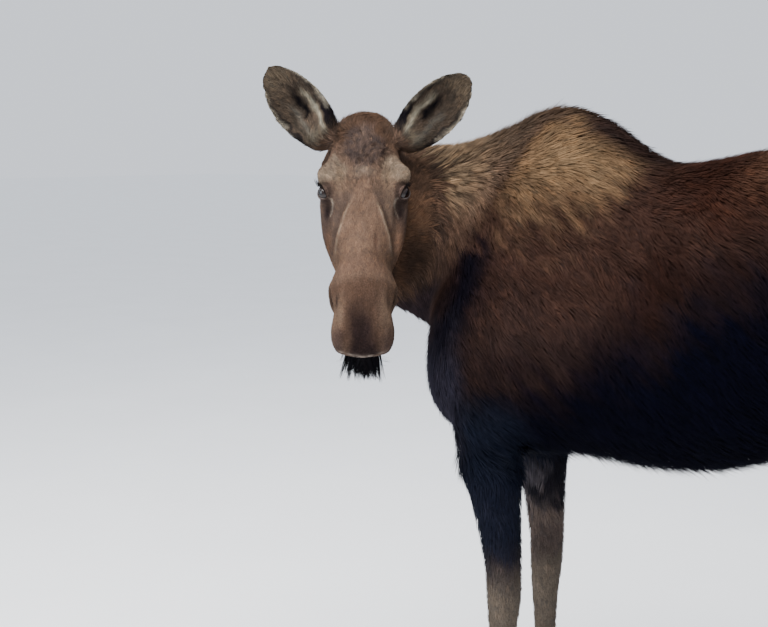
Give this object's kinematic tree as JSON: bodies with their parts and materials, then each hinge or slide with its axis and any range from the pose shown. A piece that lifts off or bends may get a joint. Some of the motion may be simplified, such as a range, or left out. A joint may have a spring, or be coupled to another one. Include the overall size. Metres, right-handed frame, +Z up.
{
  "type": "moose",
  "caption": "Life-size cow moose in winter coat, standing square with the head turned back over the left shoulder.",
  "frame": {"origin": "on the ground under the centre of the animal's bounding box", "axes": "the body faces -X, the animal's left side is towards -Y, +Z is up"},
  "size_m": [1.8742, 0.8188, 1.9222],
  "materials": {
    "coat": "long winter guard hair, dark brown to blue-black, golden brown on the shoulder hump",
    "face": "short tan-brown hair",
    "shanks": "short grey-tan hair",
    "horn": "dull dark hoof horn",
    "eye": "wet dark brown eye"
  },
  "bodies": {
    "root": {"trunk": "coat", "neck": "coat", "tail": "coat", "bell": "coat", "left_ear": "coat", "right_ear": "coat", "head": "face", "lower_jaw": "face", "left_foreleg": "shanks", "right_foreleg": "shanks", "left_hindleg": "shanks", "right_hindleg": "shanks", "left_eye": "eye", "right_eye": "eye", "left_foreleg_outer_toe": "horn", "left_foreleg_outer_dewclaw": "horn", "left_foreleg_inner_toe": "horn", "left_foreleg_inner_dewclaw": "horn", "right_foreleg_outer_toe": "horn", "right_foreleg_outer_dewclaw": "horn", "right_foreleg_inner_toe": "horn", "right_foreleg_inner_dewclaw": "horn", "left_hindleg_outer_toe": "horn", "left_hindleg_outer_dewclaw": "horn", "left_hindleg_inner_toe": "horn", "left_hindleg_inner_dewclaw": "horn", "right_hindleg_outer_toe": "horn", "right_hindleg_outer_dewclaw": "horn", "right_hindleg_inner_toe": "horn", "right_hindleg_inner_dewclaw": "horn"}
  },
  "joints": []
}
